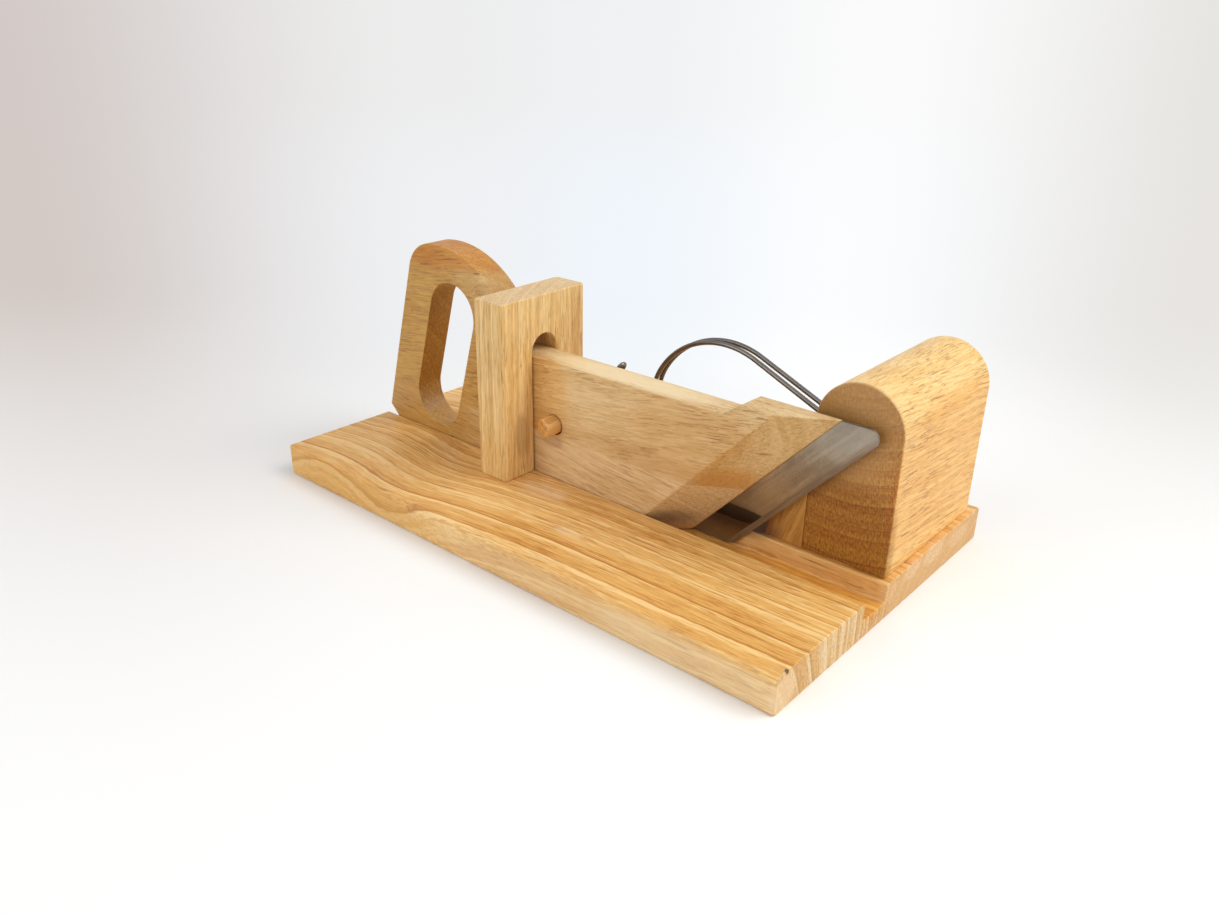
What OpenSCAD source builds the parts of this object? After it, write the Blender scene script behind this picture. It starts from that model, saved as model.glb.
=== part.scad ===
// Wooden sausage slicer.
// A plank arm with a finger-hole handle runs in a groove along the base board and through an
// arched slot in a guide post. An oblique blade on its back face shears past an end block.
// X runs from the handle end to the end block, Y from the front edge to the back, Z is up.
// The origin is the middle of the base board's underside. All sizes are in millimetres.

/* [Base board] */
// Length of the base board
base_l = 290; // [280:1:330]
// Width of the base board, front to back
base_w = 172; // [168:1:210]
// Thickness of the base board
base_t = 16; // [14:0.5:22]
// Radius of the board's four long edges
base_round = 1.5; // [0.5:0.1:3]
// Distance from the front edge to the groove
groove_y = 63; // [58:1:66]
// Width of the groove
groove_w = 18; // [17.5:0.5:20]
// Depth of the groove
groove_d = 8; // [5:0.5:10]

/* [Guide post] */
// Distance from the board's handle end to the post
post_x = 95; // [93:1:105]
// Thickness of the post along the arm
post_t = 18; // [14:0.5:20]
// Width of the post across the arm
post_w = 54.5; // [44:0.5:60]
// Height of the post above the board
post_h = 86; // [82:1:100]
// Radius of the post's four upright corners
post_round = 1.5; // [0.5:0.5:5]
// Gap between the arm and each side of the slot
slot_gap = 0.6; // [0.4:0.1:1]
// Height of the slot's spring line above the arm
slot_over = 1; // [0.5:0.5:3]

/* [End block] */
// Width of the block along the board, which its full-round top spans
block_w = 38; // [32:1:42]
// Depth of the block, front to back
block_d = 81; // [60:1:84]
// Height of the block above the board
block_h = 78; // [74:1:90]
// Distance from the block to the board's far end
block_inset = 3; // [1:0.5:8]
// Distance from the groove's back wall to the block's front face
block_setback = 3; // [2:0.5:4]
// Width of the strip that cradles the sausage against the block
cradle_w = 18; // [14:1:22]
// Height of the cradle strip's low side above the board
cradle_toe = 9.5; // [6:0.5:12]

/* [Arm and handle] */
// Thickness of the arm's plank
arm_t = 15; // [13:0.5:15.5]
// Height of the arm
arm_h = 66; // [60:1:68]
// Gap between the arm and the groove's floor
arm_lift = 0.2; // [0.1:0.1:0.5]
// Gap between the arm's front face and the groove's front wall
arm_side = 0.3; // [0.2:0.1:0.6]
// Height of the glue line between the arm's two boards, above its underside
glue_h = 29.3; // [26:0.1:30]
// Gap between the handle's shoulder and the post, which ends the push stroke
push_gap = 2; // [1:0.5:6]
// Length of the handle behind its shoulder
handle_l = 91; // [86:1:100]
// Height of the handle above the arm's underside
handle_h = 107; // [104:1:114]
// Lean of the handle from upright
handle_lean = 16.5; // [12:0.5:18]
// Radius of the handle's long crown
crown_r = 55; // [50:1:60]
// Distance from the shoulder back to the crown's highest point
crown_back = 45; // [42:1:48]
// Radius of the handle's rear top corner
rear_r = 18; // [14:1:22]
// Radius of the handle's front top corner
front_r = 22; // [18:1:26]
// Chamfer under the handle's heel
heel_cut = 13; // [8:1:16]
// Width of the finger hole
grip_w = 31; // [26:0.5:33]
// Length of the finger hole
grip_l = 79; // [70:1:81]
// Wood behind the finger hole
grip_rear = 19.5; // [16:0.5:22]
// Wood below the finger hole
grip_foot = 12.4; // [10:0.2:14]
// Height of the arm's raised nose above its straight top
nose_rise = 6; // [3:0.5:8]
// Length of the slope up to the raised nose
nose_ramp = 8.6; // [5:0.2:14]
// Length of the raised nose, to its far corner
nose_l = 37; // [30:1:50]
// Length of the bevel on the nose, square to the blade
nose_bevel = 16.5; // [12:0.5:20]
// Thickness of wood left at the end of the bevel
nose_land = 1.2; // [0.8:0.1:3]
// Radius of the nose's lower corner
nose_round = 9; // [4:1:14]

/* [Blade] */
// Angle of the blade above the board
blade_angle = 47; // [44:0.5:50]
// Thickness of the blade
blade_t = 1.5; // [1:0.1:1.8]
// Width of the blade that shows beyond the arm
blade_show = 15.4; // [12:0.2:18]
// Width of the blade that lies on the arm
blade_lap = 18; // [16:0.5:22]
// Width of the ground cutting bevel
grind_w = 2.5; // [1.5:0.1:4]
// Thickness left at the cutting edge
edge_t = 0.15; // [0.1:0.05:0.3]
// Depth of the blade's top end below the nose
blade_drop = 1; // [0.5:0.5:3]
// Gap between the blade's low end and the groove's floor
blade_clear = 0.8; // [0.5:0.1:2]
// Radius of the blade's top corner
tip_r = 4; // [2:0.5:6]
// Radius of the blade's low corner
heel_r = 8; // [4:1:12]
// How far the cutting edge has passed the cradle at rest
cut_over = 2.3; // [1.5:0.1:4]

/* [Lock peg] */
// Diameter of the peg
peg_d = 9; // [7:0.5:10]
// Gap round the peg in its hole
peg_gap = 0.5; // [0.3:0.1:0.6]
// Length of the peg that stands out in front of the arm
peg_out = 6.6; // [5:0.2:14]
// Depth of the peg's far end inside the arm's back face
peg_sunk = 0.6; // [0.2:0.1:2]
// Distance from the post to the peg's axis
peg_from_post = 12.9; // [11:0.1:16]
// Height of the peg's axis above the arm's underside
peg_up = 35.2; // [35.2:0.2:44]

/* [Hold-down wire] */
// Diameter of the wire
wire_d = 2.3; // [1.6:0.1:2.6]
// Distance between the two legs of the wire at the block
wire_pitch = 6.2; // [5.6:0.1:7.5]
// How much closer the two legs are at the wire's free end
wire_close = 1.8; // [0:0.1:2]
// Height of the wire's root above the board
wire_up = 40.5; // [36:0.5:46]
// Distance from the block's face to where the wire starts to flex
wire_root = 2; // [1.8:0.1:2.5]
// Length of wire sunk in the block
wire_sunk = 15; // [8:1:20]
// Radius of the bend at the root
root_r = 20; // [12:1:26]
// Slope of the wire's ramp
ramp_angle = 23.5; // [18:0.5:26]
// Length of the wire's ramp
ramp_l = 46.8; // [38:0.2:52]
// Radius of the arch
arch_r = 43; // [38:0.5:45]
// Turn of the arch past its top
arch_turn = 60; // [50:1:70]
// Radius where the arch falls to the finger ring
fall_r = 28; // [22:0.5:32]
// Radius of the finger ring
ring_r = 12.5; // [10:0.5:14]
// Length of the straight in the finger ring's far side
ring_up = 3; // [1:0.5:8]
// Radius of the turn at the ring's free end
hook_r = 8; // [6:0.5:12]
// Turn of the ring's free end past upright
tip_turn = 30; // [20:1:60]
// Length of the straight at the ring's free end
tip_l = 1.6; // [0.5:0.1:5]

/* [Screws] */
// Diameter of the two screws under the post
post_screw_d = 4; // [3:0.5:5]
// Length of the screws under the post
post_screw_l = 44; // [34:1:54]
// Diameter of the two screws under the block
block_screw_d = 5; // [4:0.5:6]
// Length of the screws under the block
block_screw_l = 52; // [40:1:60]
// Distance between the screws under the block
block_screw_gap = 40; // [30:1:44]
// Depth of the screw heads below the board's underside
screw_sunk = 0.5; // [0.3:0.1:1.5]
// Diameter of the blade's screws
blade_screw_d = 3; // [2.5:0.5:3.5]
// Length of the blade's screws
blade_screw_l = 10; // [8:0.5:10]
// Distance of the blade's screws behind the nose's edge
blade_screw_in = 12.5; // [11:0.5:14]

/* [Hidden] */
$fn = 96;

// Radial gap round a driven screw or a sunk wire
bore_gap = 0.05;
// Gap between the sunk wire's end and the wire that flexes
flex_gap = 0.3;
// How much wider a ball that joins two stretches of wire is than the wire, in radius
wire_join = 0.04;
// How far each stretch of wire stops short of the ball's middle
wire_trim = 0.05;
// How far a cut runs past the faces it opens
past = 1;
// How much wider a corner's circle is than one that just touches its edges, so that they cross
corner_over = 0.02;
// Length that clears the whole arm, for cuts along the blade
long_cut = 400;
// Width of a countersunk head over its shank's diameter
head_ratio = 1.9;
// Length of a screw's pointed end over its diameter
point_ratio = 1.2;

// Levels
floor_z = base_t - groove_d;
arm_z = floor_z + arm_lift;
arm_top = arm_z + arm_h;
nose_top = arm_top + nose_rise;
glue_z = arm_z + glue_h;

// Places across the board
groove_back = groove_y + groove_w;
arm_y = groove_y + arm_side;
arm_back = arm_y + arm_t;
slot_w = arm_t + 2 * slot_gap;
slot_y = arm_y + arm_t / 2;
block_y = groove_back + block_setback;
wire_y = block_y + block_d / 2;

// Places along the board
block_x = base_l - block_inset - block_w;
cradle_x = block_x - cradle_w;
post_end = post_x + post_t;
shoulder_x = post_x - push_gap;
heel_x = shoulder_x - handle_l;
peg_x = post_end + peg_from_post;
peg_z = arm_z + peg_up;

// The nose's back edge runs at the blade's angle: its X at a height z
function nose_x(z) = cradle_x + (z - base_t - cradle_toe) / tan(blade_angle)
                     + (cut_over - blade_show) / sin(blade_angle);
// X of a line that lies s beyond the nose's back edge, square to it
function beyond_x(z, s) = nose_x(z) + s / sin(blade_angle);
// A point t up the nose's back edge from the underside, and s behind it
function on_blade(t, s) = [nose_x(arm_z) + t * cos(blade_angle) - s * sin(blade_angle),
                           arm_z + t * sin(blade_angle) + s * cos(blade_angle)];
// The middle of a corner circle of radius r whose lower or upper side is at the height z,
// and which touches the line that lies s beyond the nose's edge
function corner_at(z, r, s) = [beyond_x(z, s) - r / sin(blade_angle), z];
// The point where such a circle touches that line
function touch_of(c, r) = c + r * [sin(blade_angle), -cos(blade_angle)];

// Handle outline: a crown arc between two corner arcs, above a leaning rear edge
crown_c = [shoulder_x - crown_back, arm_z + handle_h - crown_r];
front_c = [shoulder_x - front_r,
           crown_c[1] + sqrt(pow(crown_r - front_r, 2) - pow(crown_back - front_r, 2))];
lean_up = [sin(handle_lean), cos(handle_lean)];
lean_in = [cos(handle_lean), -sin(handle_lean)];
heel_top = [heel_x, arm_z + heel_cut];
rear_turn = acos((rear_r - (crown_c - heel_top) * lean_in) / (crown_r - rear_r)) - handle_lean;
rear_c = crown_c + (crown_r - rear_r) * [cos(rear_turn), sin(rear_turn)];
front_touch = crown_c + crown_r * (front_c - crown_c) / norm(front_c - crown_c);
rear_touch = crown_c + crown_r * [cos(rear_turn), sin(rear_turn)];
rear_edge = rear_c - rear_r * lean_in;

// Finger hole: a leaning slot, parallel to the rear edge
grip_r = grip_w / 2;
grip_low_z = arm_z + grip_foot + grip_r;
grip_low = [heel_x + (grip_low_z - heel_top[1]) * tan(handle_lean)
            + (grip_rear + grip_r) / cos(handle_lean), grip_low_z];
grip_high = grip_low + (grip_l - grip_w) * lean_up;

// Blade
blade_top = nose_top - blade_drop;
blade_low = floor_z + blade_clear;
nose_len = (nose_top - arm_z) / sin(blade_angle);
blade_screw_at = [for (share = [0.17, 0.48, 0.77]) nose_len * share];

// Screws under the board
post_screw_x = post_x + post_t / 2;
post_screw_y = [for (side = [-1, 1]) slot_y + side * (slot_w + post_w) / 4];
block_screw_x = block_x + block_w / 2;
block_screw_y = [for (side = [-1, 1]) wire_y + side * block_screw_gap / 2];

// Wire route, as points [X, Z] from the root to the finger ring's free end
flex_p = [block_x - wire_root, base_t + wire_up];
root_c = flex_p + [0, root_r];
ramp_a = root_c + root_r * [-sin(ramp_angle), -cos(ramp_angle)];
ramp_b = ramp_a + ramp_l * [-cos(ramp_angle), sin(ramp_angle)];
arch_c = ramp_b - arch_r * [sin(ramp_angle), cos(ramp_angle)];
arch_out = [-sin(arch_turn), cos(arch_turn)];
fall_a = arch_c + arch_r * arch_out;
fall_c = fall_a - fall_r * arch_out;
fall_b = fall_c - [fall_r, 0];
ring_c = fall_b - [ring_r, 0];
ring_b = ring_c - [ring_r, 0];
ring_far = ring_b + [0, ring_up];
hook_c = ring_far + [hook_r, 0];
tip_a = hook_c + hook_r * [-cos(tip_turn), sin(tip_turn)];
tip_dir = [sin(tip_turn), cos(tip_turn)];
tip_b = tip_a + tip_l * tip_dir;
// Turn of each leg toward the other about its root, and where that leaves the free end
leg_turn = asin(wire_close / 2 / (flex_p[0] - tip_b[0]));
tip_x = flex_p[0] - (flex_p[0] - tip_b[0]) * cos(leg_turn);
tip_pitch = wire_pitch - wire_close;

// Colours
board_wood = [0.83, 0.62, 0.36];
post_wood = [0.82, 0.64, 0.40];
block_wood = [0.85, 0.66, 0.40];
arm_wood = [0.78, 0.60, 0.38];
peg_wood = [0.76, 0.54, 0.28];
steel = [0.42, 0.40, 0.38];
wire_steel = [0.50, 0.50, 0.51];
screw_steel = [0.66, 0.66, 0.64];

// Moves a piece drawn from the board's front corner at the handle end into the part's frame
module from_corner() {
    translate([-base_l / 2, -base_w / 2, 0]) children();
}

// Stands a profile of X and Z up as a plank, t thick, whose front face is at y
module plank(y, t) {
    translate([0, y + t, 0]) rotate([90, 0, 0]) linear_extrude(t) children();
}

// Runs a profile of Y and Z along X for the length l
module rail(l) {
    rotate([90, 0, 90]) linear_extrude(l) children();
}

// Rectangle with rounded corners
module round_box(size, r) {
    translate([r, 0]) square([size[0] - 2 * r, size[1]]);
    translate([0, r]) square([size[0], size[1] - 2 * r]);
    for (x = [r, size[0] - r], y = [r, size[1] - r]) translate([x, y]) circle(r);
}

// Countersunk wood screw along +Z with its head's face at the origin, grown by gap for its hole
module wood_screw(d, l, gap = 0) {
    r = d / 2 + gap;
    head_r = d * head_ratio / 2 + gap;
    head_h = head_r - r;
    cylinder(h = head_h, r1 = head_r, r2 = r);
    translate([0, 0, head_h]) cylinder(h = l - head_h - d * point_ratio, r = r);
    translate([0, 0, l - d * point_ratio]) cylinder(h = d * point_ratio, r1 = r, r2 = r / 4);
}

// The holes for a row of screws driven up through the board
module screw_holes(x, ys, d, l) {
    for (y = ys) translate([x, y, screw_sunk]) {
        wood_screw(d, l + bore_gap, bore_gap);
        translate([0, 0, -screw_sunk - past])
            cylinder(h = screw_sunk + past, r = d * head_ratio / 2 + bore_gap);
    }
}

module base_board() {
    color(board_wood) from_corner() difference() {
        rail(base_l) difference() {
            round_box([base_w, base_t], base_round);
            translate([groove_y, floor_z]) square([groove_w, groove_d + past]);
        }
        screw_holes(post_screw_x, post_screw_y, post_screw_d, post_screw_l);
        screw_holes(block_screw_x, block_screw_y, block_screw_d, block_screw_l);
    }
}

module guide_post() {
    spring_z = arm_top + slot_over;
    color(post_wood) from_corner() difference() {
        translate([post_x, slot_y - post_w / 2, base_t]) linear_extrude(post_h)
            round_box([post_t, post_w], post_round);
        translate([post_x - past, 0, 0]) rail(post_t + 2 * past) {
            translate([slot_y - slot_w / 2, base_t - past])
                square([slot_w, spring_z - base_t + past]);
            translate([slot_y, spring_z]) circle(slot_w / 2);
        }
        screw_holes(post_screw_x, post_screw_y, post_screw_d, post_screw_l);
    }
}

module end_block() {
    color(block_wood) from_corner() difference() {
        plank(block_y, block_d) translate([block_x, base_t]) {
            square([block_w, block_h - block_w / 2]);
            translate([block_w / 2, block_h - block_w / 2]) circle(block_w / 2);
        }
        screw_holes(block_screw_x, block_screw_y, block_screw_d, block_screw_l);
        wire_pair() translate([block_x - past, 0, flex_p[1]]) rotate([0, 90, 0])
            cylinder(h = wire_sunk + past + bore_gap, r = wire_d / 2 + bore_gap);
    }
}

// The strip whose slope, parallel to the blade, holds the sausage off the corner
module cradle_strip() {
    color(arm_wood) from_corner() plank(block_y, block_d) translate([cradle_x, base_t])
        polygon([[0, 0], [cradle_w, 0], [cradle_w, cradle_toe + cradle_w * tan(blade_angle)],
                 [0, cradle_toe]]);
}

module post_screws() {
    color(screw_steel) from_corner()
        for (y = post_screw_y) translate([post_screw_x, y, screw_sunk])
            wood_screw(post_screw_d, post_screw_l);
}

module block_screws() {
    color(screw_steel) from_corner()
        for (y = block_screw_y) translate([block_screw_x, y, screw_sunk])
            wood_screw(block_screw_d, block_screw_l);
}

// Draws a leg of the wire twice, one wire pitch apart, each turned toward the other
module wire_pair(turn = 0) {
    for (side = [-1, 1]) translate([flex_p[0], wire_y + side * wire_pitch / 2, 0])
        rotate([0, 0, side * turn]) translate([-flex_p[0], 0, 0]) children();
}

module wire_shanks() {
    reach = wire_root - wire_d / 2 - wire_join - flex_gap;
    color(wire_steel) from_corner() wire_pair()
        translate([block_x - reach, 0, flex_p[1]]) rotate([0, 90, 0])
            cylinder(h = wire_sunk + reach, d = wire_d);
}

// A bend of the wire about the point c, from one angle through a turn
module wire_bend(c, r, start, turn) {
    trim = asin(wire_trim / r);
    translate([c[0], 0, c[1]]) rotate([90, 0, 0]) rotate([0, 0, start + trim])
        rotate_extrude(angle = turn - 2 * trim) translate([r, 0]) circle(d = wire_d);
}

// A straight of the wire between two points
module wire_run(a, b) {
    translate([a[0], 0, a[1]]) rotate([0, atan2(b[0] - a[0], b[1] - a[1]), 0])
        translate([0, 0, wire_trim])
            cylinder(h = norm(b - a) - 2 * wire_trim, d = wire_d);
}

module hold_down_wire() {
    $fn = 24;
    turn_trim = asin(2 * wire_trim / tip_pitch);
    color(wire_steel) from_corner() {
        wire_pair(leg_turn) {
            wire_bend(root_c, root_r, 270 - ramp_angle, ramp_angle);
            wire_run(ramp_a, ramp_b);
            wire_bend(arch_c, arch_r, 90 - ramp_angle, ramp_angle + arch_turn);
            wire_bend(fall_c, fall_r, 90 + arch_turn, 90 - arch_turn);
            wire_bend(ring_c, ring_r, 180, 180);
            wire_run(ring_b, ring_far);
            wire_bend(hook_c, hook_r, 180 - tip_turn, tip_turn);
            wire_run(tip_a, tip_b);
            for (p = [flex_p, ramp_a, ramp_b, fall_a, fall_b, ring_b, ring_far, tip_a, tip_b])
                translate([p[0], 0, p[1]]) sphere(r = wire_d / 2 + wire_join);
        }
        translate([tip_x, wire_y, tip_b[1]]) rotate([0, 90 + tip_turn, 0])
            rotate([0, 0, 90 + turn_trim]) rotate_extrude(angle = 180 - 2 * turn_trim)
                translate([tip_pitch / 2, 0]) circle(d = wire_d);
    }
}

// Outline of the whole arm, seen from the front
module arm_outline() {
    low_c = corner_at(arm_z + nose_round, nose_round, 0);
    nose_end = nose_x(nose_top);
    difference() {
        union() {
            polygon([[heel_x + heel_cut, arm_z], [low_c[0], arm_z], touch_of(low_c, nose_round),
                     [nose_end, nose_top], [nose_end - nose_l, nose_top],
                     [nose_end - nose_l - nose_ramp, arm_top], [shoulder_x, arm_top],
                     [shoulder_x, front_c[1]], front_touch, rear_touch, rear_edge, heel_top]);
            translate(low_c) circle(nose_round + corner_over);
            translate(front_c) circle(front_r + corner_over);
            translate(rear_c) circle(rear_r + corner_over);
            intersection() {
                translate(crown_c) circle(crown_r, $fn = 2 * $fn);
                polygon([crown_c, 2 * front_touch - crown_c, crown_c + [0, 2 * crown_r],
                         2 * rear_touch - crown_c]);
            }
        }
        translate(grip_low) circle(grip_r + corner_over);
        translate(grip_high) circle(grip_r + corner_over);
        polygon([grip_low - grip_r * lean_in, grip_low + grip_r * lean_in,
                 grip_high + grip_r * lean_in, grip_high - grip_r * lean_in]);
    }
}

// Sets a profile, square to the nose's edge and drawn in distance beyond it and Y, along it
module along_blade() {
    translate([nose_x(arm_z), 0, arm_z]) rotate([0, 90 - blade_angle, 0])
        translate([0, 0, -long_cut / 2]) linear_extrude(long_cut) children();
}

// The wedge of wood that the nose's bevel takes off
module bevel_cut() {
    land_y = arm_back - nose_land;
    slope = nose_bevel / (land_y - arm_y);
    along_blade()
        polygon([[-nose_bevel - past * slope, arm_y - past], [nose_round, arm_y - past],
                 [nose_round, land_y + nose_round / slope]]);
}

// Sets the blade's screws, or their holes, pointing forward from the blade's back face
module at_blade_screws() {
    for (t = blade_screw_at) translate([on_blade(t, blade_screw_in)[0], arm_back + blade_t,
                                        on_blade(t, blade_screw_in)[1]])
        rotate([90, 0, 0]) children();
}

// One of the arm's two boards, between two heights
module arm_board(low, high) {
    color(arm_wood) from_corner() difference() {
        plank(arm_y, arm_t) intersection() {
            arm_outline();
            translate([heel_x - past, low])
                square([nose_x(nose_top) - heel_x + 2 * past, high - low]);
        }
        bevel_cut();
        at_blade_screws() wood_screw(blade_screw_d, blade_screw_l + bore_gap, bore_gap);
        translate([peg_x, arm_back + past, peg_z]) rotate([90, 0, 0])
            cylinder(h = arm_t + 2 * past, r = peg_d / 2 + peg_gap);
    }
}

module arm_upper_board() {
    arm_board(glue_z, arm_z + handle_h + past);
}

module arm_lower_board() {
    arm_board(arm_z - past, glue_z);
}

module blade() {
    tip_c = corner_at(blade_top - tip_r, tip_r, blade_show);
    heel_c = corner_at(blade_low + heel_r, heel_r, blade_show);
    slope = grind_w / (blade_t - edge_t);
    color(steel) from_corner() difference() {
        plank(arm_back, blade_t) {
            polygon([[beyond_x(blade_low, -blade_lap), blade_low], [heel_c[0], blade_low],
                     touch_of(heel_c, heel_r), touch_of(tip_c, tip_r), [tip_c[0], blade_top],
                     [beyond_x(blade_top, -blade_lap), blade_top]]);
            translate(tip_c) circle(tip_r + corner_over);
            translate(heel_c) circle(heel_r + corner_over);
        }
        along_blade()
            polygon([[blade_show - grind_w - past * slope, arm_back - past],
                     [blade_show + past, arm_back - past],
                     [blade_show + past, arm_back + blade_t - edge_t + past / slope]]);
        at_blade_screws() wood_screw(blade_screw_d, blade_screw_l, bore_gap);
    }
}

module blade_screws() {
    color(screw_steel) from_corner() at_blade_screws() wood_screw(blade_screw_d, blade_screw_l);
}

module lock_peg() {
    color(peg_wood) from_corner() translate([peg_x, arm_back - peg_sunk, peg_z])
        rotate([90, 0, 0]) cylinder(h = arm_t - peg_sunk + peg_out, d = peg_d);
}

base_board();
guide_post();
end_block();
cradle_strip();
post_screws();
block_screws();
wire_shanks();
hold_down_wire();
arm_upper_board();
arm_lower_board();
blade();
blade_screws();
lock_peg();
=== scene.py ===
"""Wooden sausage slicer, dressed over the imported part.

Every length is in metres and every place is in the part's frame: X runs from the handle end to
the end block, Y from the front edge to the back, and Z up from the board's underside. Sizes
inside the wood and steel patterns, and of the wire, the peg and the screws, are in millimetres.
"""
import math

import bmesh
import bpy
import numpy as np
from mathutils import Matrix, Vector


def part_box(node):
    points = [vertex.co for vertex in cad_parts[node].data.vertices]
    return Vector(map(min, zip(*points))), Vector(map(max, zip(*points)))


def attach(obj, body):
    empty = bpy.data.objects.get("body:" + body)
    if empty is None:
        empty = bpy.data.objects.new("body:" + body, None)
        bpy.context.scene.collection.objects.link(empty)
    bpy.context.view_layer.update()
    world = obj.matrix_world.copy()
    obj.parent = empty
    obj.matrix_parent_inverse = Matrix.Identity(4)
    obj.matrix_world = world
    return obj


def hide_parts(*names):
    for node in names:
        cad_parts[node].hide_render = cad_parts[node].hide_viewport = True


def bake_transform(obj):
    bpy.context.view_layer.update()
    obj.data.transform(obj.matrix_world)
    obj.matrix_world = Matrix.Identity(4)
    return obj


MM = 0.001
WELD = 2e-6
SHARP_TURN = math.radians(28)
FLAT_TURN = math.radians(0.4)
SNAP = 8e-5
ROOM_TONE = (0.88, 0.875, 0.87)


# Camera, floor and light

def place_camera(place, azimuth, elevation, roll, lens):
    """Stands the camera at a place, turned by azimuth about Z, dipped by elevation, then rolled."""
    camera = bpy.data.objects.new("camera", bpy.data.cameras.new("camera"))
    camera.data.lens = lens
    camera.data.sensor_width = 36
    camera.data.clip_start = 0.01
    turn = Matrix.Rotation(math.radians(azimuth), 4, "Z")
    dip = Matrix.Rotation(math.radians(90 - elevation), 4, "X")
    tilt = Matrix.Rotation(math.radians(roll), 4, "Z")
    camera.matrix_world = Matrix.Translation(place) @ turn @ dip @ tilt
    bpy.context.collection.objects.link(camera)
    bpy.context.scene.camera = camera


def soft_light(name, place, target, width, power, colour):
    """A square lamp of one width at a place, facing a target."""
    lamp = bpy.data.objects.new(name, bpy.data.lights.new(name, "AREA"))
    lamp.data.shape = "SQUARE"
    lamp.data.size = width
    lamp.data.energy = power
    lamp.data.color = colour
    lamp.location = place
    lamp.rotation_euler = (Vector(target) - Vector(place)).to_track_quat("-Z", "Y").to_euler()
    bpy.context.collection.objects.link(lamp)


# Node graphs

class Graph:
    """A material's nodes. Each pattern call adds a node and hands back the socket it makes."""

    def __init__(self, name):
        self.material = bpy.data.materials.new(name)
        self.material.use_nodes = True
        self.tree = self.material.node_tree
        self.tree.nodes.clear()

    def put(self, socket, value):
        """Links a socket to another, or writes a plain value in it."""
        if isinstance(value, bpy.types.NodeSocket):
            self.tree.links.new(value, socket)
        else:
            socket.default_value = value

    def node(self, kind, inputs, **settings):
        """A shader node with its settings, and its inputs by name or number."""
        node = self.tree.nodes.new("ShaderNode" + kind)
        for key, value in settings.items():
            setattr(node, key, value)
        for key, value in inputs.items():
            self.put(node.inputs[key], value)
        return node

    def sum(self, operation, a, b=0.0, c=0.0, clamp=False):
        """One step of arithmetic on numbers."""
        inputs = {0: a, 1: b, 2: c}
        return self.node("Math", inputs, operation=operation, use_clamp=clamp).outputs[0]

    def vector(self, operation, a, b):
        """One step of arithmetic on vectors."""
        return self.node("VectorMath", {0: a, 1: b}, operation=operation).outputs[0]

    def length(self, a):
        """The length of a vector."""
        return self.node("VectorMath", {0: a}, operation="LENGTH").outputs["Value"]

    def join(self, x, y, z):
        """A vector from three numbers."""
        return self.node("CombineXYZ", {0: x, 1: y, 2: z}).outputs[0]

    def split(self, a):
        """The three numbers of a vector."""
        return list(self.node("SeparateXYZ", {0: a}).outputs)

    def place(self):
        """The place on the piece, in millimetres."""
        coords = self.node("TexCoord", {}).outputs["Object"]
        return self.vector("MULTIPLY", coords, (1000.0, 1000.0, 1000.0))

    def noise(self, place, detail=2.0, rough=0.5, colour=False):
        """Soft noise with cells one unit across: a number about 0.5, or a vector about it."""
        inputs = {"Vector": place, "Scale": 1.0, "Detail": detail, "Roughness": rough}
        return self.node("TexNoise", inputs).outputs["Color" if colour else "Fac"]

    def span(self, value, low, high, to_low=0.0, to_high=1.0):
        """Runs smoothly from one number to another as a value goes from low to high."""
        inputs = {"Value": value, "From Min": low, "From Max": high, "To Min": to_low,
                  "To Max": to_high}
        return self.node("MapRange", inputs, interpolation_type="SMOOTHSTEP").outputs["Result"]

    def blend(self, amount, a, b, how="MIX"):
        """Lays colour b over colour a by an amount."""
        node = self.node("Mix", {0: amount}, data_type="RGBA", blend_type=how)
        self.put(node.inputs[6], a)
        self.put(node.inputs[7], b)
        return node.outputs[2]

    def ramp(self, value, stops, how="EASE"):
        """A colour for each value between the stops, given as (place, colour)."""
        node = self.node("ValToRGB", {0: value})
        node.color_ramp.interpolation = how
        while len(node.color_ramp.elements) < len(stops):
            node.color_ramp.elements.new(0.5)
        for element, (place, colour) in zip(node.color_ramp.elements, stops):
            element.position = place
            element.color = (*colour, 1.0)
        return node.outputs[0]

    def patch(self, place, centre, half, ragged, width=0.3):
        """One inside an egg shape of half sizes, with an edge that a noise value makes ragged."""
        off = self.vector("DIVIDE", self.vector("SUBTRACT", place, centre), half)
        far = self.sum("ADD", self.length(off), self.sum("MULTIPLY_ADD", ragged, 0.8, -0.4))
        return self.span(far, 1.0 - width, 1.0 + width, 1.0, 0.0)

    def surface(self, shader):
        """Makes a shader the material's surface and hands back the material."""
        out = self.tree.nodes.new("ShaderNodeOutputMaterial")
        self.tree.links.new(shader.outputs[0], out.inputs["Surface"])
        return self.material


def rgb(colour):
    """A colour as a socket value."""
    return (*colour, 1.0)


# Wood

def round_rings(pith, width):
    """Growth rings about a pith line, of one mean width, each with a strength of its own."""
    def rings(g, side, up):
        off = g.join(g.sum("SUBTRACT", side, pith[0]), g.sum("SUBTRACT", up, pith[1]), 0.0)
        radius = g.length(off)
        years = g.sum("DIVIDE", radius, width)
        uneven = g.noise(g.join(g.sum("MULTIPLY", years, 0.6), 3.7, 1.3), 2.0)
        count = g.sum("MULTIPLY_ADD", uneven, 2.4, years)
        which = g.node("TexWhiteNoise", {"W": g.sum("FLOOR", count)}, noise_dimensions="1D")
        strength = g.sum("MULTIPLY_ADD", which.outputs["Value"], 0.65, 0.35)
        return radius, g.sum("FRACT", count), strength
    return rings


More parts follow.
